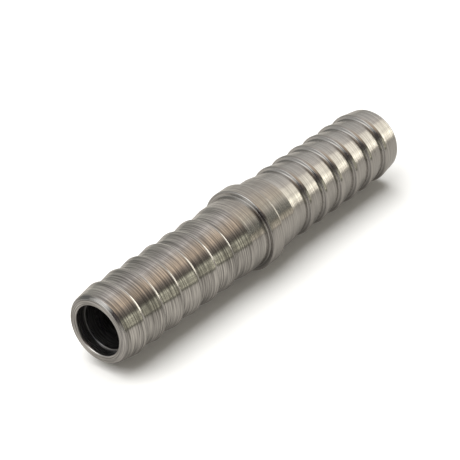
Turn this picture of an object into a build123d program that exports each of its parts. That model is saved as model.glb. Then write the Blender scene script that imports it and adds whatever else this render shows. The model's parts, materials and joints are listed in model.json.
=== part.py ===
"""Double-ended hose barb tail: one piece of stainless bar, turned, bored and barbed at both ends.

A 9.5 mm hose is pushed over each barbed tail until it meets the collar in the middle, and a clip
closes it on the plain land beside the collar. All sizes are in millimetres. The axis is +Z, and
the origin is the centre of the lower end face, so the part stands on that face.
"""
import os
from build123d import *

# Outside diameters
COLLAR_D = 12.0  # the bar's own skin, left standing as the stop for both hoses
CREST_D = 10.6  # tips of the barbs, which stretch the hose
LAND_D = 10.6  # plain land between the last barb and the collar, where a clip sits
ROOT_D = 9.5  # bottom of the barbs, the bore of the hose
NOSE_D = 9.7  # entry end of the first ramp, which starts the hose

# Lengths along one tail, from its end face to the collar
NOSE_BEVEL_LENGTH = 0.35
NOSE_BEVEL_DEPTH = 0.2
LEAD_IN = 3.75  # end face to the first crest
BARB_COUNT = 6
BARB_PITCH = 3.6  # crest to crest, and the length of the last ramp before the land
CREST_FLAT = 0.1  # narrow flat that the tool leaves on each tip
BARB_BACK = 0.15  # how far a barb's steep back leans towards the collar
LAND_LENGTH = 3.4
COLLAR_WIDTH = 2.5

# The way through
BORE_D = 6.8
COUNTERBORE_D = 7.2  # each mouth is opened a little past the bore's own size
COUNTERBORE_DEPTH = 1.5
MOUTH_BREAK = 0.12  # edge break where the counterbore meets the end face

# The collar's corners
COLLAR_BREAK = 0.15  # broken outer edges
COLLAR_ROOT = 0.25  # sloped corner between the land and the collar's shoulder

# Heights that follow from the sizes above
LAND_START = LEAD_IN + BARB_COUNT * BARB_PITCH
COLLAR_START = LAND_START + LAND_LENGTH
LENGTH = 2 * COLLAR_START + COLLAR_WIDTH


def tail_outside():
    """(radius, distance from the end face) of each corner of one tail's outside, up to the collar."""
    corners = [
        (NOSE_D / 2 - NOSE_BEVEL_DEPTH, 0.0),
        (NOSE_D / 2, NOSE_BEVEL_LENGTH),
    ]
    for barb in range(BARB_COUNT):
        crest = LEAD_IN + barb * BARB_PITCH
        corners.append((CREST_D / 2, crest - CREST_FLAT))
        corners.append((CREST_D / 2, crest))
        corners.append((ROOT_D / 2, crest + BARB_BACK))
    corners.append((LAND_D / 2, LAND_START))
    corners.append((LAND_D / 2, COLLAR_START - COLLAR_ROOT))
    corners.append((LAND_D / 2 + COLLAR_ROOT, COLLAR_START))
    corners.append((COLLAR_D / 2 - COLLAR_BREAK, COLLAR_START))
    corners.append((COLLAR_D / 2, COLLAR_START + COLLAR_BREAK))
    return corners


def tail_bore():
    """(radius, distance from the end face) of each corner of the bore's step, out to the end face."""
    return [
        (BORE_D / 2, COUNTERBORE_DEPTH),
        (COUNTERBORE_D / 2, COUNTERBORE_DEPTH),
        (COUNTERBORE_D / 2, MOUTH_BREAK),
        (COUNTERBORE_D / 2 + MOUTH_BREAK, 0.0),
    ]


def from_other_end(corners):
    """The same corners on the other tail, in the opposite order."""
    return [(radius, LENGTH - distance) for radius, distance in reversed(corners)]


def half_section():
    """Every corner of the wall on one side of the axis, taken once round."""
    outside = tail_outside() + from_other_end(tail_outside())
    inside = from_other_end(tail_bore()) + tail_bore()
    return outside + inside


def build_barb_tail():
    """The half section turned once about the axis."""
    with BuildPart() as turned:
        with BuildSketch(Plane.XZ):
            with BuildLine():
                Polyline(*half_section(), close=True)
            make_face()
        revolve(axis=Axis.Z)
    return turned.part


barb_tail = build_barb_tail()

os.makedirs("parts", exist_ok=True)
export_step(barb_tail, "parts/barb_tail.step")
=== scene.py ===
# %% [markdown]
# # A double-ended hose barb tail, turned from stainless bar
#
# This lesson dresses one small pipe fitting: a straight tube with six barbs on each half
# and a stop collar in the middle. A hose is pushed over each half until it meets the
# collar, and the barbs bite into its wall. The part is one piece of bar, drilled through
# and turned on a lathe, so nearly everything that the eye reads on it comes from turning:
# the saw-tooth outline, the fine rings that the tool leaves, and the way those rings smear
# every reflection along the tube.
#
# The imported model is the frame. It gives the sizes and never changes; the finished piece
# is modelled around it and takes its place.

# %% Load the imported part
import json
import math
import random

import bpy
from mathutils import Matrix, Vector

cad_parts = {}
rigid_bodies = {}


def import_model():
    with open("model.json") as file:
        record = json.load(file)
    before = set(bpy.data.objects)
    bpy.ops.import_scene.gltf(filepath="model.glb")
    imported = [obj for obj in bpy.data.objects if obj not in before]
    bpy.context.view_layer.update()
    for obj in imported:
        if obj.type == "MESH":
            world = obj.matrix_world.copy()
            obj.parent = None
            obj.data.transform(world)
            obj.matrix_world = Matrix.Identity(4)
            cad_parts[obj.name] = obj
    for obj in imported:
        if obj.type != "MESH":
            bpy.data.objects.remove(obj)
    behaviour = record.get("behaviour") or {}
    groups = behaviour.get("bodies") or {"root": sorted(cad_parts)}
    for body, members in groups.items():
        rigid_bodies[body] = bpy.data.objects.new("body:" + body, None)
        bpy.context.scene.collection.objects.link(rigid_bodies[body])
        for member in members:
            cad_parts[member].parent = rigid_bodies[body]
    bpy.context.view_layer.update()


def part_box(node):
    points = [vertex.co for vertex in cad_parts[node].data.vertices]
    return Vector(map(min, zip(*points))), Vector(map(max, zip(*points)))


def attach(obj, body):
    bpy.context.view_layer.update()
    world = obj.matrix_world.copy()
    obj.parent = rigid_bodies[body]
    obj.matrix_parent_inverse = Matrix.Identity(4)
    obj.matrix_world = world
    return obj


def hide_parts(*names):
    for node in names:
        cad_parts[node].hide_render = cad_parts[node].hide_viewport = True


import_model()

MM = 0.001
low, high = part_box("barb_tail")
LENGTH = (high.z - low.z) / MM
COLLAR_D = (high.x - low.x) / MM
MIDDLE = LENGTH / 2
print("tail", round(LENGTH, 3), "mm long, collar", round(COLLAR_D, 3), "mm")

# %% [markdown]
# ## The outline of one half
#
# A turned part is fully told by the line that the tool follows. Each barb is a long ramp
# that climbs towards the collar and then drops back in a steep step, which is what stops
# a hose from creeping off. The two halves of the part are alike, so only one is drawn,
# from the middle of the collar out to the mouth and back in along the bore.
#
# Distances are counted from the mouth, as a turner would measure them off the end face.

# %% Turning sizes, in millimetres
CREST_D = 10.6
LAND_D = 10.6
ROOT_D = 9.5
NOSE_D = 9.7
NOSE_BEVEL = 0.34
NOSE_BEVEL_RUN = 0.45
LEAD_IN = 3.75
BARB_COUNT = 6
BARB_PITCH = 3.6
BARB_BACK = 0.15
LAND_LENGTH = 3.4
BORE_D = 6.8
COUNTERBORE_D = 7.2
COUNTERBORE_DEPTH = 1.5

CREST_RUN = [LEAD_IN + i * BARB_PITCH for i in range(BARB_COUNT)]
LAND_START = LEAD_IN + BARB_COUNT * BARB_PITCH
COLLAR_START = LAND_START + LAND_LENGTH
print("crests at", [round(run, 2) for run in CREST_RUN], "collar from", COLLAR_START)

# %% [markdown]
# ## Worn crests
#
# A barb's tip doesn't stay a sharp ring. The last stretch of each ramp is rubbed down
# into a narrow band that falls towards the step. It could be left to a bevel, but a bevel
# is even on both sides, and this band faces another way than the ramp does, so it mirrors
# another part of the room. It is drawn as two corners: where the band starts, and its low
# end at the step.


# %% The corners that the tool turns
CREST_WEAR = 0.35
CREST_DROP = 0.105


def outside_corners():
    """Radius and distance from the mouth, from the collar's middle out to the mouth."""
    corners = [(COLLAR_D / 2, MIDDLE), (COLLAR_D / 2, COLLAR_START)]
    corners += [(LAND_D / 2, COLLAR_START), (LAND_D / 2, LAND_START)]
    for run in reversed(CREST_RUN):
        corners.append((ROOT_D / 2, run + BARB_BACK))
        corners.append((CREST_D / 2 - CREST_DROP, run))
        corners.append((CREST_D / 2, run - CREST_WEAR))
    return corners + [(NOSE_D / 2, NOSE_BEVEL_RUN), (NOSE_D / 2 - NOSE_BEVEL, 0)]


def bore_corners():
    """The same for the counterbore and the bore, from the mouth in to the middle."""
    counterbore = [(COUNTERBORE_D / 2, 0), (COUNTERBORE_D / 2, COUNTERBORE_DEPTH)]
    return counterbore + [(BORE_D / 2, COUNTERBORE_DEPTH), (BORE_D / 2, MIDDLE)]


print(len(outside_corners()) + len(bore_corners()), "corners in one half")

# %% [markdown]
# ## Drawing the outline as a wire
#
# The wire could be written straight into a mesh as a list of points. Drawing it as by
# hand keeps it editable: a small plane is added and merged to a single vertex, and that
# vertex is extruded from corner to corner. The wire lies in the XZ plane, with X as the
# radius, and is drawn with the part's middle at the origin so that it can be mirrored.


# %% Selection helpers
def nothing_selected():
    """Leaves edit mode and deselects everything, because operators act on what is selected."""
    if bpy.context.object and bpy.context.object.mode != "OBJECT":
        bpy.ops.object.mode_set(mode="OBJECT")
    bpy.ops.object.select_all(action="DESELECT")


def work_on(piece):
    """Makes one piece the only selected and the active one."""
    nothing_selected()
    piece.select_set(True)
    bpy.context.view_layer.objects.active = piece


# %% Draw the wire
def draw_wire(name, corners):
    """A wire through (radius, distance from the mouth) corners, drawn below the middle."""
    nothing_selected()
    radius, run = corners[0]
    bpy.ops.mesh.primitive_plane_add(size=MM)
    wire = bpy.context.object
    wire.name = name
    bpy.ops.object.mode_set(mode="EDIT")
    bpy.ops.mesh.select_mode(type="VERT")
    bpy.ops.mesh.select_all(action="SELECT")
    bpy.ops.mesh.merge(type="CENTER")
    bpy.ops.transform.translate(value=(radius * MM, 0, (run - MIDDLE) * MM))
    for next_radius, next_run in corners[1:]:
        step = ((next_radius - radius) * MM, 0, (next_run - run) * MM)
        bpy.ops.mesh.extrude_region_move(TRANSFORM_OT_translate={"value": step})
        radius, run = next_radius, next_run
    bpy.ops.object.mode_set(mode="OBJECT")
    return wire


body = draw_wire("turned_barb_tail", outside_corners() + bore_corners())
print("wire:", len(body.data.vertices), "corners")

# %% [markdown]
# ## Easing the corners
#
# No turned corner is perfectly sharp. Both ends of each worn crest band are rounded, the
# tool's nose leaves a fillet at each root and at the collar, the collar's edges are broken
# with a file, and the nose, the mouth and the edge of the bore's step are eased too. A
# vertex bevel on the wire makes all of them before the wire is spun, so each costs a few
# points rather than a few thousand faces. The crest rounds matter most: each one catches
# the light as a thin bright line round the tube.


# %% Select in code, then round chosen corners
SAME_PLACE = 0.02
EVEN_ROUND = 0.5


def clear_selection(piece, mode):
    """Deselects the whole mesh in edit mode, because edges left selected would bring their ends."""
    work_on(piece)
    bpy.ops.object.mode_set(mode="EDIT")
    bpy.ops.mesh.select_mode(type=mode)
    bpy.ops.mesh.select_all(action="DESELECT")
    bpy.ops.object.mode_set(mode="OBJECT")


def round_corners(piece, places, offset, segments):
    """Bevels the wire's corners that lie at the given (radius, run) places."""
    targets = [Vector((radius * MM, 0, (run - MIDDLE) * MM)) for radius, run in places]
    clear_selection(piece, "VERT")
    for vertex in piece.data.vertices:
        vertex.select = any((vertex.co - target).length < SAME_PLACE * MM for target in targets)
    chosen = sum(vertex.select for vertex in piece.data.vertices)
    bpy.ops.object.mode_set(mode="EDIT")
    bpy.ops.mesh.bevel(offset=offset * MM, segments=segments, affect="VERTICES", profile=EVEN_ROUND)
    bpy.ops.object.mode_set(mode="OBJECT")
    print("rounded", chosen, "corners by", offset, "mm:", len(piece.data.vertices), "points")


# %% Round the outside, then the mouth
CREST_ROUND = 0.06
ROOT_ROUND = 0.14
COLLAR_EDGE = 0.18
COLLAR_ROOT = 0.16
NOSE_ROUND = 0.11
MOUTH_BREAK = 0.2
STEP_ROUND = 0.08

nose_corners = [(NOSE_D / 2, NOSE_BEVEL_RUN), (NOSE_D / 2 - NOSE_BEVEL, 0)]
round_corners(body, [(CREST_D / 2 - CREST_DROP, run) for run in CREST_RUN], CREST_ROUND, 3)
round_corners(body, [(CREST_D / 2, run - CREST_WEAR) for run in CREST_RUN], CREST_ROUND, 2)
round_corners(body, [(ROOT_D / 2, run + BARB_BACK) for run in CREST_RUN], ROOT_ROUND, 3)
round_corners(body, [(COLLAR_D / 2, COLLAR_START)], COLLAR_EDGE, 3)
round_corners(body, [(LAND_D / 2, COLLAR_START)], COLLAR_ROOT, 4)
round_corners(body, nose_corners, NOSE_ROUND, 3)
round_corners(body, [(COUNTERBORE_D / 2, 0)], MOUTH_BREAK, 3)
round_corners(body, [(BORE_D / 2, COUNTERBORE_DEPTH)], STEP_ROUND, 3)

# %% [markdown]
# ## Both halves, and the marks of the feed
#
# A Mirror modifier makes the second half and closes the wire. Then every long run of the
# outside is halved until no piece is longer than one turn's feed, and each point is moved
# in or out by a few thousandths of a millimetre, because a tool never cuts two turns at
# quite the same depth. A few raised rings stand for where it chattered. The collar keeps
# the bar's own skin and is left smooth. Doing this after the mirror keeps the two halves
# from being copies.
#
# The lower half lies further from the camera, where a lens shows less of such fine marks,
# so it is given quieter ones: its points wander less. This is a choice for the picture.
# The two halves of the part itself are cut alike.


# %% Mirror the wire
MIRROR_MERGE = 0.01


def mirror_wire(piece):
    """Adds the other half of the wire and closes it at the middle."""
    work_on(piece)
    mirror = piece.modifiers.new("other half", "MIRROR")
    mirror.use_axis = (False, False, True)
    mirror.use_clip = True
    mirror.merge_threshold = MIRROR_MERGE * MM
    bpy.ops.object.modifier_apply(modifier=mirror.name)


mirror_wire(body)
print("whole wire:", len(body.data.vertices), "points")


# %% Divide the outside at the feed
FEED = 0.20


def is_outside(vertex):
    """Whether a point of the wire is on the outside rather than in the bore or on its mouth."""
    return vertex.co.x > (COUNTERBORE_D / 2 + MOUTH_BREAK) * MM


def divide_runs(piece, longest):
    """Halves the outside's edges until none is longer than the given length."""
    halvings = math.ceil(math.log2(LENGTH / longest))
    for _ in range(halvings):
        clear_selection(piece, "EDGE")
        mesh = piece.data
        for edge in mesh.edges:
            a, b = (mesh.vertices[i] for i in edge.vertices)
            edge.select = (a.co - b.co).length > longest * MM and is_outside(a) and is_outside(b)
        if not any(edge.select for edge in mesh.edges):
            return
        bpy.ops.object.mode_set(mode="EDIT")
        bpy.ops.mesh.subdivide(number_cuts=1)
        bpy.ops.object.mode_set(mode="OBJECT")


divide_runs(body, FEED)
print("divided wire:", len(body.data.vertices), "points,", len(body.data.edges), "edges")

# %% Let the tool wander
WANDER = 0.0022
FAR_HALF_SHARE = 0.4
RING_HEIGHT = 0.012
CHATTER_RUNS = (5.3, 9.85, 15.45)


def wander(piece, seed):
    """Moves each outside point in or out a little, and lifts the chatter rings."""
    draw = random.Random(seed)
    rings = [MIDDLE - run for run in CHATTER_RUNS] + [run - MIDDLE for run in CHATTER_RUNS]
    for vertex in sorted(piece.data.vertices, key=lambda v: (round(v.co.z / MM, 4), v.co.x)):
        if not is_outside(vertex) or vertex.co.x > (COLLAR_D / 2 - WANDER) * MM:
            continue
        quieter = FAR_HALF_SHARE if vertex.co.z < 0 else 1
        vertex.co.x += draw.gauss(0, WANDER * quieter) * MM
        if min(abs(vertex.co.z / MM - ring) for ring in rings) < FEED / 2:
            vertex.co.x += RING_HEIGHT * MM


wander(body, seed=11)
widest = max(vertex.co.x for vertex in body.data.vertices) / MM
print("after the wander the widest point is still the collar:", round(widest, 3), "mm radius")

# %% [markdown]
# ## Spinning the wire into a solid
#
# Spin turns the closed wire about the part's axis, as the lathe turns the bar past the
# tool. On a full turn Spin welds its last copy to the first by itself. Doubles are merged
# all the same, so that any copy left at the seam is welded. Then the normals
# are recalculated, because a spun shell can come out inside out. The piece is finally
# lifted in edit mode, so that its place is in its mesh and its origin stays put.


# %% Spin
TURN_STEPS = 144
SPIN_MERGE = 0.001
SMOOTH_BELOW = 40


def spin_wire(piece, steps):
    """Spins the wire a full turn, makes sure of the seam, and stands it on its lower end."""
    work_on(piece)
    bpy.ops.object.mode_set(mode="EDIT")
    bpy.ops.mesh.select_all(action="SELECT")
    bpy.ops.mesh.spin(steps=steps, angle=2 * math.pi, center=(0, 0, 0), axis=(0, 0, 1))
    bpy.ops.mesh.select_all(action="SELECT")
    bpy.ops.mesh.remove_doubles(threshold=SPIN_MERGE * MM)
    bpy.ops.mesh.normals_make_consistent(inside=False)
    bpy.ops.transform.translate(value=(0, 0, MIDDLE * MM))
    bpy.ops.object.mode_set(mode="OBJECT")
    bpy.ops.object.shade_smooth_by_angle(angle=math.radians(SMOOTH_BELOW))


spin_wire(body, TURN_STEPS)
top = max(vertex.co.z for vertex in body.data.vertices) / MM
print("body:", len(body.data.polygons), "faces, up to", round(top, 2), "mm")

# %% [markdown]
# ## A nick on the nose
#
# Loose fittings knock against each other, and the thin nose bevel is where it shows. A
# boolean cut would leave long thin faces, so the bevel's own points are pressed inwards
# instead, most in the middle of the nick and not at all at its two ends.


# %% Press the nick
NICK_AZIMUTH = 294
NICK_HALF_WIDTH = 12
NICK_DEPTH = 0.06
NICK_FLATNESS = 4
BEVEL_MARGIN = 0.1


def degrees_from(azimuth, place):
    """How far round the axis a place lies from an azimuth, from 0 to 180 degrees."""
    turn = math.degrees(math.atan2(place.y, place.x)) - azimuth
    return abs((turn + 180) % 360 - 180)


def knock_nick(piece, azimuth, half_width, depth):
    """Presses a short dent into the upper nose bevel."""
    lowest = (LENGTH - 2 * NOSE_BEVEL_RUN) * MM
    innermost = (NOSE_D / 2 - NOSE_BEVEL - BEVEL_MARGIN) * MM
    for vertex in piece.data.vertices:
        radius = math.hypot(vertex.co.x, vertex.co.y)
        off_centre = degrees_from(azimuth, vertex.co) / half_width
        if vertex.co.z < lowest or radius < innermost or off_centre >= 1:
            continue
        press = 1 - depth * MM * (1 - off_centre ** NICK_FLATNESS) / radius
        vertex.co.x *= press
        vertex.co.y *= press


knock_nick(body, NICK_AZIMUTH, NICK_HALF_WIDTH, NICK_DEPTH)
print("nick:", NICK_DEPTH, "mm deep,", 2 * NICK_HALF_WIDTH, "degrees wide")

# %% [markdown]
# ## Tool marks as a node group
#
# A lathe leaves rings: round the outside they follow the circumference, and on a faced end
# they are circles about the axis. Every finish here needs them, so they are made once, as
# a group. Its Across input is the distance measured across the marks, in millimetres, and
# Around is the direction from the axis, which only bends the rings slightly as they run
# round. Spacing sets how fine the noise is, and Feed is the pitch of a faint regular
# groove, one for each turn. The group gives a height for bump and a streak mask for colour
# and roughness.


# %% Node helpers
def add(tree, kind, **settings):
    """Adds a node and sets its properties."""
    node = tree.nodes.new(kind)
    for name, value in settings.items():
        setattr(node, name, value)
    return node


def plug(tree, socket, value):
    """Connects a socket to another one, or sets its value."""
    if isinstance(value, bpy.types.NodeSocket):
        tree.links.new(value, socket)
    else:
        socket.default_value = value


def feed(tree, node, **inputs):
    """Connects or sets inputs by name, with _ for a space."""
    for name, value in inputs.items():
        plug(tree, node.inputs[name.replace("_", " ")], value)
    return node


def maths(tree, operation, a, b=0.0):
    """A Math node with one or two inputs; gives its output."""
    node = add(tree, "ShaderNodeMath", operation=operation)
    plug(tree, node.inputs[0], a)
    plug(tree, node.inputs[1], b)
    return node.outputs[0]


def plus(tree, a, b):
    return maths(tree, "ADD", a, b)


def times(tree, a, b):
    return maths(tree, "MULTIPLY", a, b)


def blend(tree, factor, first, second):
    """A colour mix; gives its output."""
    mix = add(tree, "ShaderNodeMix", data_type="RGBA")
    feed(tree, mix, Factor=factor, A=first, B=second)
    return mix.outputs["Result"]


def new_group(name, inputs, outputs):
    """An empty node group with named sockets: {name: (kind, default)} in, {name: kind} out."""
    group = bpy.data.node_groups.new(name, "ShaderNodeTree")
    for title, (kind, default) in inputs.items():
        socket = group.interface.new_socket(title, in_out="INPUT", socket_type=kind)
        socket.default_value = default
    for title, kind in outputs.items():
        group.interface.new_socket(title, in_out="OUTPUT", socket_type=kind)
    return group, add(group, "NodeGroupInput").outputs, add(group, "NodeGroupOutput")


# %% Noise in rings
RING_NOISE_ROUGHNESS = 0.6


def ring_noise(tree, across, around, spacing, drift, detail):
    """Noise that is fine across the rings and long along them."""
    lifted = add(tree, "ShaderNodeCombineXYZ")
    feed(tree, lifted, Z=maths(tree, "DIVIDE", across, spacing))
    turned = add(tree, "ShaderNodeVectorMath", operation="SCALE")
    feed(tree, turned, Vector=around, Scale=drift)
    place = add(tree, "ShaderNodeVectorMath", operation="ADD")
    plug(tree, place.inputs[0], turned.outputs[0])
    plug(tree, place.inputs[1], lifted.outputs[0])
    noise = add(tree, "ShaderNodeTexNoise")
    feed(tree, noise, Vector=place.outputs[0], Scale=1.0, Detail=detail,
         Roughness=RING_NOISE_ROUGHNESS)
    return noise.outputs["Fac"]


# %% The tool-mark group: its fine and broad rings
FINE_DRIFT = 0.9
FINE_DETAIL = 2.0
BROAD_SPACING = 3.2
BROAD_DRIFT = 0.5
BROAD_DETAIL = 1.0

tool_marks, marks_in, marks_out = new_group(
    "tool marks",
    {"Across": ("NodeSocketFloat", 0.0), "Around": ("NodeSocketVector", (1.0, 0.0, 0.0)),
     "Spacing": ("NodeSocketFloat", 0.15), "Feed": ("NodeSocketFloat", 0.36)},
    {"Height": "NodeSocketFloat", "Streak": "NodeSocketFloat"})
across, around_axis, spacing_in = (marks_in[name] for name in ("Across", "Around", "Spacing"))
broad_spacing = times(tool_marks, spacing_in, BROAD_SPACING)
fine = ring_noise(tool_marks, across, around_axis, spacing_in, FINE_DRIFT, FINE_DETAIL)
broad = ring_noise(tool_marks, across, around_axis, broad_spacing, BROAD_DRIFT, BROAD_DETAIL)
print("tool marks so far:", len(tool_marks.nodes), "nodes")

# %% The tool-mark group: its feed groove, height and streaks
GROOVE_WANDER = 9.0
BROAD_HEIGHT = 0.5
GROOVE_HEIGHT = 0.10
FINE_STREAK = 0.72
BROAD_STREAK = 0.28
GROOVE_STREAK = 0.05
STREAK_LOW = 0.38
STREAK_HIGH = 0.64

turns = maths(tool_marks, "DIVIDE", across, marks_in["Feed"])
turn_angle = times(tool_marks, turns, 2 * math.pi)
phase = plus(tool_marks, turn_angle, times(tool_marks, broad, GROOVE_WANDER))
groove = maths(tool_marks, "SINE", phase)
rough_height = plus(tool_marks, fine, times(tool_marks, broad, BROAD_HEIGHT))
mark_height = plus(tool_marks, rough_height, times(tool_marks, groove, GROOVE_HEIGHT))
plug(tool_marks, marks_out.inputs["Height"], mark_height)

fine_part = times(tool_marks, fine, FINE_STREAK)
mixed = plus(tool_marks, fine_part, times(tool_marks, broad, BROAD_STREAK))
mixed = plus(tool_marks, mixed, times(tool_marks, groove, GROOVE_STREAK))
streak_range = add(tool_marks, "ShaderNodeMapRange", clamp=True)
feed(tool_marks, streak_range, Value=mixed, From_Min=STREAK_LOW, From_Max=STREAK_HIGH)
plug(tool_marks, marks_out.inputs["Streak"], streak_range.outputs[0])
print("tool marks group:", len(tool_marks.nodes), "nodes")

# %% [markdown]
# ## Turned, faced and bored steel
#
# Three finishes share those marks. The outside is bright turned steel. The end faces, the
# barbs' backs and the collar's sides were cut by a facing pass, so their rings are
# measured by radius. The bore is drilled, rougher and with only faint rings, and its darker
# colour is painted shade for the inside of the tube.
#
# The marks are much finer than a pixel, so bump alone can't carry them. Anisotropy does
# the rest: it stretches each reflection across the rings, that is along the tube, and
# leaves it sharp round the tube. The tangent runs round the axis, so the stretch is turned
# by a quarter.
#
# As with the wander of the wire, the marks on the lower half are drawn quieter, for the
# picture's sake: their contrast falls from full to a share of it around the collar.


# %% Where a point lies on the turned part
def axis_coordinates(tree):
    """Height along the axis in mm, radius in mm and direction from the axis."""
    place = add(tree, "ShaderNodeTexCoord").outputs["Object"]
    in_mm = add(tree, "ShaderNodeVectorMath", operation="SCALE")
    feed(tree, in_mm, Vector=place, Scale=1 / MM)
    flat = add(tree, "ShaderNodeVectorMath", operation="MULTIPLY")
    plug(tree, flat.inputs[0], in_mm.outputs[0])
    plug(tree, flat.inputs[1], (1, 1, 0))
    length = add(tree, "ShaderNodeVectorMath", operation="LENGTH")
    plug(tree, length.inputs[0], flat.outputs[0])
    around = add(tree, "ShaderNodeVectorMath", operation="NORMALIZE")
    plug(tree, around.inputs[0], flat.outputs[0])
    split = add(tree, "ShaderNodeSeparateXYZ")
    plug(tree, split.inputs[0], in_mm.outputs[0])
    return split.outputs["Z"], length.outputs["Value"], around.outputs[0]


# %% A steel finish
FAR_HALF_END = 31.5
NEAR_HALF_START = 36
STREAK_MIDDLE = 0.5
QUARTER_TURN = 0.25


def quieter_below(tree, height, streak):
    """The marks' contrast at a height, and the streak mask pulled to its middle by it."""
    contrast = add(tree, "ShaderNodeMapRange", clamp=True)
    feed(tree, contrast, Value=height, From_Min=FAR_HALF_END, From_Max=NEAR_HALF_START,
         To_Min=FAR_HALF_SHARE, To_Max=1.0)
    centred = maths(tree, "SUBTRACT", streak, STREAK_MIDDLE)
    quieted = plus(tree, times(tree, centred, contrast.outputs[0]), STREAK_MIDDLE)
    return contrast.outputs[0], quieted


def steel(name, light, dark, roughness, mark_depth, spacing, turn_feed, rings_by, anisotropy):
    """Steel with tool marks: two colours in linear light, roughness range, mark depth in mm."""
    material = bpy.data.materials.new(name)
    material.use_nodes = True
    tree = material.node_tree
    height, radius, around = axis_coordinates(tree)
    across_marks = height if rings_by == "height" else radius
    marks = add(tree, "ShaderNodeGroup", node_tree=tool_marks)
    feed(tree, marks, Across=across_marks, Around=around, Spacing=spacing, Feed=turn_feed)
    contrast, streak = quieter_below(tree, height, marks.outputs["Streak"])
    tint = blend(tree, streak, (*dark, 1), (*light, 1))
    rough = add(tree, "ShaderNodeMapRange")
    feed(tree, rough, Value=streak, To_Min=roughness[1], To_Max=roughness[0])
    bump = add(tree, "ShaderNodeBump")
    feed(tree, bump, Height=marks.outputs["Height"], Distance=mark_depth * MM, Strength=contrast)
    tangent = add(tree, "ShaderNodeTangent", direction_type="RADIAL", axis="Z")
    feed(tree, tree.nodes["Principled BSDF"], Base_Color=tint, Metallic=1.0,
         Roughness=rough.outputs[0], Anisotropic=anisotropy, Anisotropic_Rotation=QUARTER_TURN,
         Tangent=tangent.outputs[0], Normal=bump.outputs[0])
    return material


# %% The three finishes
turned_steel = steel("turned steel", light=(0.66, 0.64, 0.61), dark=(0.24, 0.23, 0.22),
                     roughness=(0.10, 0.24), mark_depth=0.006, spacing=0.20, turn_feed=0.37,
                     rings_by="height", anisotropy=0.8)
faced_steel = steel("faced steel", light=(0.66, 0.64, 0.625), dark=(0.17, 0.165, 0.16),
                    roughness=(0.16, 0.28), mark_depth=0.004, spacing=0.20, turn_feed=0.24,
                    rings_by="radius", anisotropy=0.6)
# The bore's finish is rougher with faint rings, as drilled; its dark colours are painted shade for the
# inside of the tube, and the nick's painted shadow uses it too.
bored_steel_and_shade = steel("bored steel", light=(0.36, 0.35, 0.36), dark=(0.12, 0.12, 0.12),
                    roughness=(0.25, 0.40), mark_depth=0.002, spacing=0.2, turn_feed=0.4,
                    rings_by="height", anisotropy=0.4)
FINISHES = (turned_steel, faced_steel, bored_steel_and_shade)
TURNED, FACED, BORED_AND_SHADE = range(len(FINISHES))
print("finishes:", [finish.name for finish in FINISHES])

# %% [markdown]
# ## Giving each face its finish
#
# The three finishes could be painted with a mask in one material, but the tool's own
# passes part cleanly at edges, so each face simply gets one of three slots: by its radius,
# and by how far it looks along the axis. Two small places are picked out. The middle of
# the nick takes the dark bored finish as a painted shadow, so that it doesn't shine. One
# stretch of the upper step's edge takes the brighter faced one as a painted highlight, so
# that it shows as a thin bright line in the dark bore.


# %% Two small places
# The nick's middle share is given the dark finish as a painted shadow in the dent.
NICK_SHADOW_SHARE = 0.8
NICK_TOP = 0.15
BEVEL_WIDTH = 0.5
# Between these turns the upper step's edge is given the brighter faced finish as a painted highlight.
EDGE_HIGHLIGHT_FROM = 83
EDGE_HIGHLIGHT_TO = 152


def in_nick_shadow(centre, radius):
    """Whether a face lies in the middle of the nick, on the nose bevel, where a shadow is painted with
    the dark finish.
    """
    sideways = degrees_from(NICK_AZIMUTH, centre)
    depth = LENGTH - centre.z / MM
    on_bevel = NICK_TOP < depth < NOSE_BEVEL_RUN + BEVEL_MARGIN and radius > BORE_D / 2 + BEVEL_WIDTH
    return on_bevel and sideways < NICK_HALF_WIDTH * NICK_SHADOW_SHARE


def is_edge_highlight(centre, radius):
    """Whether a face is on the stretch of the upper step's edge where a highlight is painted with the
    brighter faced finish.
    """
    turn = math.degrees(math.atan2(centre.y, centre.x))
    depth = LENGTH - centre.z / MM
    on_edge = abs(depth - COUNTERBORE_DEPTH) < STEP_ROUND and radius < BORE_D / 2 + STEP_ROUND
    return on_edge and EDGE_HIGHLIGHT_FROM < turn < EDGE_HIGHLIGHT_TO


# %% Finish the faces
WALL_MARGIN = 0.01
FACED_TILT = 0.5


def finish_of(face):
    """Which of the three finishes a face has."""
    radius = math.hypot(face.center.x, face.center.y) / MM
    # A face on the step's painted highlight is kept out of the dark finish, and the nick's painted
    # shadow is given it.
    in_bore = radius < COUNTERBORE_D / 2 + WALL_MARGIN and not is_edge_highlight(face.center, radius)
    if in_bore or in_nick_shadow(face.center, radius):
        return BORED_AND_SHADE
    if abs(face.normal.z) > FACED_TILT or radius < COUNTERBORE_D / 2:
        return FACED
    return TURNED


def finish_faces(piece):
    """Gives the piece its three slots and each face its own."""
    for finish in FINISHES:
        piece.data.materials.append(finish)
    counts = [0] * len(FINISHES)
    for face in piece.data.polygons:
        face.material_index = finish_of(face)
        counts[face.material_index] += 1
    print("turned, faced and bored faces:", counts)


finish_faces(body)
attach(body, "root")
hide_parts("barb_tail")

# %% [markdown]
# ## Camera
#
# The part lies on its side in the picture, with one mouth close to the lens. The packed
# model stands on its end, so here the picture's up is the model's minus Y, and the camera
# is turned to suit instead of the part. Its matrix is built from three directions rather
# than by angles, because no order of angles is easy to read at such a tilt.

# %% Camera
CAMERA_PLACE = Vector((-0.13023, -0.14092, 0.19628))
CAMERA_AIM = Vector((0.001209, 0.0, 0.031701))
PICTURE_UP = Vector((0, -1, 0))
PICTURE_WIDTH = 460
FOCAL_PIXELS = 1866.3
SENSOR_WIDTH = 36.0
CLIP_NEAR = 0.01
CLIP_FAR = 10

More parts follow.
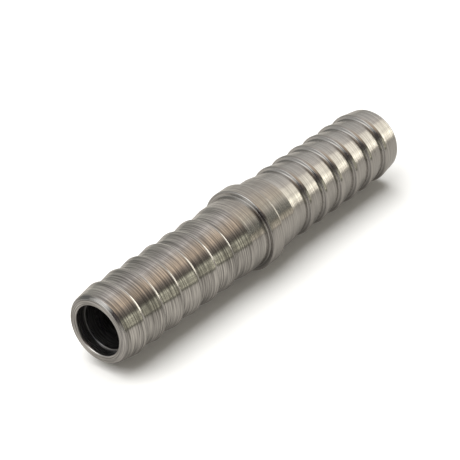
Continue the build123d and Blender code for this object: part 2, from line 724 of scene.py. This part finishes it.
lens = bpy.data.cameras.new("camera")
lens.sensor_width = SENSOR_WIDTH
lens.lens = FOCAL_PIXELS / PICTURE_WIDTH * SENSOR_WIDTH
lens.clip_start = CLIP_NEAR
lens.clip_end = CLIP_FAR
camera = bpy.data.objects.new("camera", lens)
bpy.context.collection.objects.link(camera)
back = (CAMERA_PLACE - CAMERA_AIM).normalized()
right = PICTURE_UP.cross(back).normalized()
turned = Matrix((right, back.cross(right), back)).transposed().to_4x4()
turned.translation = CAMERA_PLACE
camera.matrix_world = turned
bpy.context.scene.camera = camera
print("focal length", round(lens.lens, 1), "mm")

# %% [markdown]
# ## Floor
#
# The part rests on white paper. Paper is a matt surface that takes the part's soft shadow.
# To the camera it is near white, but to the steel it is darker, because the underside of a
# bright part would otherwise go pale and lose its shape. A faint warm glow is added in
# both cases, more of it to the steel. The plane stands beside the upright model, so its
# back is made clear, and views from behind look through it.

# %% Lay the floor
FLOOR_SIZE = 3.0
nothing_selected()
bpy.ops.mesh.primitive_plane_add(size=FLOOR_SIZE, location=(0, COLLAR_D / 2 * MM, MIDDLE * MM),
                                 rotation=(math.radians(90), 0, 0))
floor = bpy.context.object
floor.name = "paper_floor"
bpy.ops.object.transform_apply(location=True, rotation=True, scale=True)
print("floor faces", tuple(round(c, 2) for c in floor.data.polygons[0].normal))

# %% White paper
PAPER_TO_CAMERA = (0.92, 0.92, 0.91, 1)
PAPER_TO_STEEL = (0.37, 0.355, 0.33, 1)
PAPER_ROUGHNESS = 0.9
GLOW_COLOUR = (1, 0.95, 0.87, 1)
GLOW_TO_CAMERA = 0.05
GLOW_TO_STEEL = 0.13


def white_paper():
    """Matt paper that is clear from behind."""
    material = bpy.data.materials.new("white paper")
    material.use_nodes = True
    tree = material.node_tree
    shader = tree.nodes["Principled BSDF"]
    rays = add(tree, "ShaderNodeLightPath").outputs
    albedo = blend(tree, rays["Is Camera Ray"], PAPER_TO_STEEL, PAPER_TO_CAMERA)
    glow_seen = times(tree, rays["Is Camera Ray"], GLOW_TO_CAMERA)
    glow_mirrored = times(tree, rays["Is Glossy Ray"], GLOW_TO_STEEL)
    feed(tree, shader, Base_Color=albedo, Roughness=PAPER_ROUGHNESS, Specular_IOR_Level=0.0,
         Emission_Color=GLOW_COLOUR, Emission_Strength=plus(tree, glow_seen, glow_mirrored))
    sides = add(tree, "ShaderNodeMixShader")
    geometry = add(tree, "ShaderNodeNewGeometry")
    plug(tree, sides.inputs[0], geometry.outputs["Backfacing"])
    plug(tree, sides.inputs[1], shader.outputs[0])
    plug(tree, sides.inputs[2], add(tree, "ShaderNodeBsdfTransparent").outputs[0])
    plug(tree, tree.nodes["Material Output"].inputs["Surface"], sides.outputs[0])
    return material


floor.data.materials.append(white_paper())
print("floor finish:", floor.data.materials[0].name)

# %% [markdown]
# ## The light tent
#
# Polished metal has hardly any look of its own; it shows what stands round it. A bright
# part on a bench shows a window, a soft grey ceiling, a warm wall and the dark things
# between them. Lamps could make those, one for each, but they would also light the floor.
# Here one large globe carries them as bands of soft colour. Only reflections see it: it
# lights nothing and hides nothing.
#
# A band's colour hangs on how high the mirrored direction looks, from 0 degrees on one
# side of the part, over the top at 90, to 180 on the other. It also hangs on how far the
# direction looks along the part, because ramps, lands and steps each lean another way. So
# there are four sets of bands: what the near ramps mirror, what the lands and the collar
# mirror, what the far ramps mirror, and what the nose and the mouth mirror.


# %% The globe
TENT_RADIUS = 0.6
HALF_TURN = 180

nothing_selected()
bpy.ops.mesh.primitive_uv_sphere_add(segments=48, ring_count=24, radius=TENT_RADIUS,
                                     location=(0, 0, MIDDLE * MM))
tent = bpy.context.object
tent.name = "light_tent"
print("tent:", TENT_RADIUS, "m radius,", len(tent.data.polygons), "faces")

# %% Its directions
bands = bpy.data.materials.new("tent bands")
bands.use_nodes = True
tree = bands.node_tree
tree.nodes.remove(tree.nodes["Principled BSDF"])
direction = add(tree, "ShaderNodeVectorMath", operation="NORMALIZE")
plug(tree, direction.inputs[0], add(tree, "ShaderNodeTexCoord").outputs["Object"])
parts = add(tree, "ShaderNodeSeparateXYZ")
plug(tree, parts.inputs[0], direction.outputs[0])
above = times(tree, parts.outputs["Y"], -1)
beside = times(tree, parts.outputs["X"], -1)
along = times(tree, parts.outputs["Z"], -1)
share = times(tree, maths(tree, "ARCTAN2", above, beside), 1 / math.pi)
print("tent directions:", len(tree.nodes), "nodes")


# %% Band helpers
def band_ramp(tree, angle_share, stops):
    """A colour ramp over an angle share from 0 to 1; stops are (degrees, colour)."""
    ramp = add(tree, "ShaderNodeValToRGB")
    plug(tree, ramp.inputs[0], angle_share)
    elements = ramp.color_ramp.elements
    while len(elements) < len(stops):
        elements.new(0.5)
    for element, (degrees, colour) in zip(elements, stops):
        element.position = degrees / HALF_TURN
        element.color = (*colour, 1)
    return ramp.outputs["Color"]


def smooth_step(tree, value, start, end):
    """0 below start, 1 above end, and a smooth climb between."""
    step = add(tree, "ShaderNodeMapRange", interpolation_type="SMOOTHSTEP")
    feed(tree, step, Value=value, From_Min=start, From_Max=end)
    return step.outputs[0]


# %% What the near ramps mirror: a warm wall over a dark edge
near_bands = band_ramp(tree, share, [
    (0, (0.34, 0.33, 0.28)), (4, (0.30, 0.29, 0.24)), (8, (0.62, 0.60, 0.48)),
    (30, (0.54, 0.53, 0.43)), (37, (0.17, 0.155, 0.13)), (47, (0.23, 0.20, 0.175)),
    (55, (0.44, 0.37, 0.31)), (64, (0.76, 0.62, 0.49)), (78, (0.84, 0.70, 0.57)),
    (94, (0.78, 0.70, 0.63)), (110, (0.77, 0.73, 0.71)), (128, (0.56, 0.54, 0.52)),
    (150, (0.46, 0.45, 0.42)), (180, (0.47, 0.465, 0.43))])

# %% What the lands and the collar mirror: the same wall, with a dark post low down
middle_bands = band_ramp(tree, share, [
    (0, (0.60, 0.54, 0.46)), (10, (0.58, 0.53, 0.43)), (16, (0.22, 0.20, 0.16)),
    (24, (0.10, 0.10, 0.095)), (41, (0.17, 0.17, 0.155)), (51, (0.50, 0.465, 0.42)),
    (62, (0.56, 0.52, 0.44)), (73, (0.71, 0.63, 0.52)), (92, (0.72, 0.64, 0.53)),
    (102, (0.78, 0.70, 0.61)), (125, (0.66, 0.62, 0.57)), (180, (0.62, 0.60, 0.56))])

# %% What the far ramps mirror: the light behind them
far_bands = band_ramp(tree, share, [
    (0, (0.70, 0.66, 0.57)), (8, (1.35, 1.28, 1.12)), (20, (2.0, 1.9, 1.62)),
    (30, (2.3, 2.2, 1.88)), (45, (1.15, 1.09, 0.95)), (60, (1.45, 1.38, 1.20)),
    (80, (1.25, 1.18, 1.05)), (95, (0.95, 0.90, 0.84)), (115, (0.90, 0.87, 0.83)),
    (140, (0.76, 0.745, 0.715)), (180, (0.44, 0.43, 0.40))])

# %% What the nose and the mouth mirror: a light behind the camera, over a dark bench
back_bands = band_ramp(tree, share, [
    (0, (0.45, 0.44, 0.40)), (22, (0.30, 0.28, 0.25)), (32, (0.10, 0.09, 0.09)),
    (68, (0.12, 0.10, 0.10)), (84, (0.9, 0.9, 0.86)), (98, (2.0, 2.0, 1.95)),
    (122, (1.9, 1.9, 1.85)), (140, (0.8, 0.8, 0.77)), (180, (0.5, 0.5, 0.48))])

# %% Join the bands, with a window at the far end
NEAR_TO_MIDDLE = (0.50, 0.60)
MIDDLE_TO_FAR = (0.715, 0.84)
TO_BACK = (0.22, 0.36)
UPPER_SIDE = (0.16, 0.25)
UPPER_REACH = 0.065
WINDOW_ALONG = (0.90, 0.955)
WINDOW_STARTS = (0.02, 0.08)
WINDOW_ENDS = (0.45, 0.62)
WINDOW_COLOUR = (2.8, 2.7, 2.45, 1)

room = blend(tree, smooth_step(tree, along, *NEAR_TO_MIDDLE), near_bands, middle_bands)
upper_side = smooth_step(tree, share, *UPPER_SIDE)
reach = plus(tree, along, times(tree, upper_side, UPPER_REACH))
room = blend(tree, smooth_step(tree, reach, *MIDDLE_TO_FAR), room, far_bands)
room = blend(tree, smooth_step(tree, parts.outputs["Z"], *TO_BACK), room, back_bands)
before_window_ends = maths(tree, "SUBTRACT", 1.0, smooth_step(tree, share, *WINDOW_ENDS))
window_side = times(tree, smooth_step(tree, share, *WINDOW_STARTS), before_window_ends)
window = times(tree, window_side, smooth_step(tree, along, *WINDOW_ALONG))
room = blend(tree, window, room, WINDOW_COLOUR)
print("tent room:", len(tree.nodes), "nodes")

# %% [markdown]
# ## Clutter in the tent
#
# Even bands would look like paint. A room is full of small things, and curved metal draws
# them out into ragged streaks. A noise over the globe, squeezed along the part, varies the
# bands' strength, more strongly low down, where the benches and tools would be.

# %% Clutter
CLUTTER_STRETCH = (1, 1, 2.4)
CLUTTER_SCALE = 9.0
CLUTTER_DETAIL = 3.0
CLUTTER_ROUGHNESS = 0.65
CLUTTER_DEPTH = 1.3
CLUTTER_EXTRA_LOW_DOWN = 4.0
LOW_SIDE_ENDS = (0.16, 0.20)
NOISE_MIDDLE = 0.5

stretched = add(tree, "ShaderNodeVectorMath", operation="MULTIPLY")
plug(tree, stretched.inputs[0], direction.outputs[0])
plug(tree, stretched.inputs[1], CLUTTER_STRETCH)
clutter = add(tree, "ShaderNodeTexNoise")
feed(tree, clutter, Vector=stretched.outputs[0], Scale=CLUTTER_SCALE, Detail=CLUTTER_DETAIL,
     Roughness=CLUTTER_ROUGHNESS)
low_side = maths(tree, "SUBTRACT", 1.0, smooth_step(tree, share, *LOW_SIDE_ENDS))
clutter_depth = plus(tree, times(tree, low_side, CLUTTER_EXTRA_LOW_DOWN), CLUTTER_DEPTH)
centred_clutter = maths(tree, "SUBTRACT", clutter.outputs["Fac"], NOISE_MIDDLE)
clutter_level = plus(tree, times(tree, centred_clutter, clutter_depth), 1.0)
glow = add(tree, "ShaderNodeEmission")
feed(tree, glow, Color=room, Strength=clutter_level)
plug(tree, tree.nodes["Material Output"].inputs["Surface"], glow.outputs[0])
print("tent bands:", len(tree.nodes), "nodes")

# %% Only reflections see the tent
HIDDEN_FROM = ("visible_camera", "visible_diffuse", "visible_shadow", "visible_transmission",
               "visible_volume_scatter")

tent.data.materials.append(bands)
bands.cycles.emission_sampling = "NONE"
for ray_kind in HIDDEN_FROM:
    setattr(tent, ray_kind, False)
print("tent hidden from", len(HIDDEN_FROM), "kinds of ray")

# %% [markdown]
# ## Light
#
# One large soft box hangs over the part, a little behind it, and is longer along the part
# than across it, so that the shadow is soft and falls towards the camera's side. The white
# surroundings fill the rest. To the camera, to mirrors and through glass they are plain
# white; as light on the floor they are dimmer and slightly warm, which keeps the shadow.

# %% White surroundings
FILL = 0.22
FILL_COLOUR = (1.0, 0.95, 0.84, 1)
WHITE = (1, 1, 1, 1)

world = bpy.data.worlds.new("white surroundings")
bpy.context.scene.world = world
world.use_nodes = True
tree = world.node_tree
rays = add(tree, "ShaderNodeLightPath").outputs
seen = plus(tree, plus(tree, rays["Is Camera Ray"], rays["Is Glossy Ray"]), rays["Is Transmission Ray"])
level = add(tree, "ShaderNodeMapRange", clamp=True)
feed(tree, level, Value=seen, To_Min=FILL, To_Max=1.0)
fill_colour = blend(tree, seen, FILL_COLOUR, WHITE)
feed(tree, tree.nodes["Background"], Color=fill_colour, Strength=level.outputs[0])
print("surroundings fill:", FILL)

# %% Soft box
SOFT_BOX_PLACE = Vector((0.11, -0.40, 0.11))
SOFT_BOX_WIDTH = 0.52
SOFT_BOX_LENGTH = 0.8
SOFT_BOX_POWER = 4.2

soft_box = bpy.data.lights.new("soft box", "AREA")
soft_box.energy = SOFT_BOX_POWER
soft_box.shape = "RECTANGLE"
soft_box.size = SOFT_BOX_WIDTH
soft_box.size_y = SOFT_BOX_LENGTH
soft_box_object = bpy.data.objects.new("soft box", soft_box)
bpy.context.collection.objects.link(soft_box_object)
soft_box_object.location = SOFT_BOX_PLACE
aim = Vector((0, 0, MIDDLE * MM)) - SOFT_BOX_PLACE
soft_box_object.rotation_euler = aim.to_track_quat("-Z", "Y").to_euler()
soft_box_object.visible_glossy = False
print("soft box:", SOFT_BOX_POWER, "W,", round(aim.length, 2), "m away")

# %% Finish
bpy.context.scene.view_settings.view_transform = "Standard"
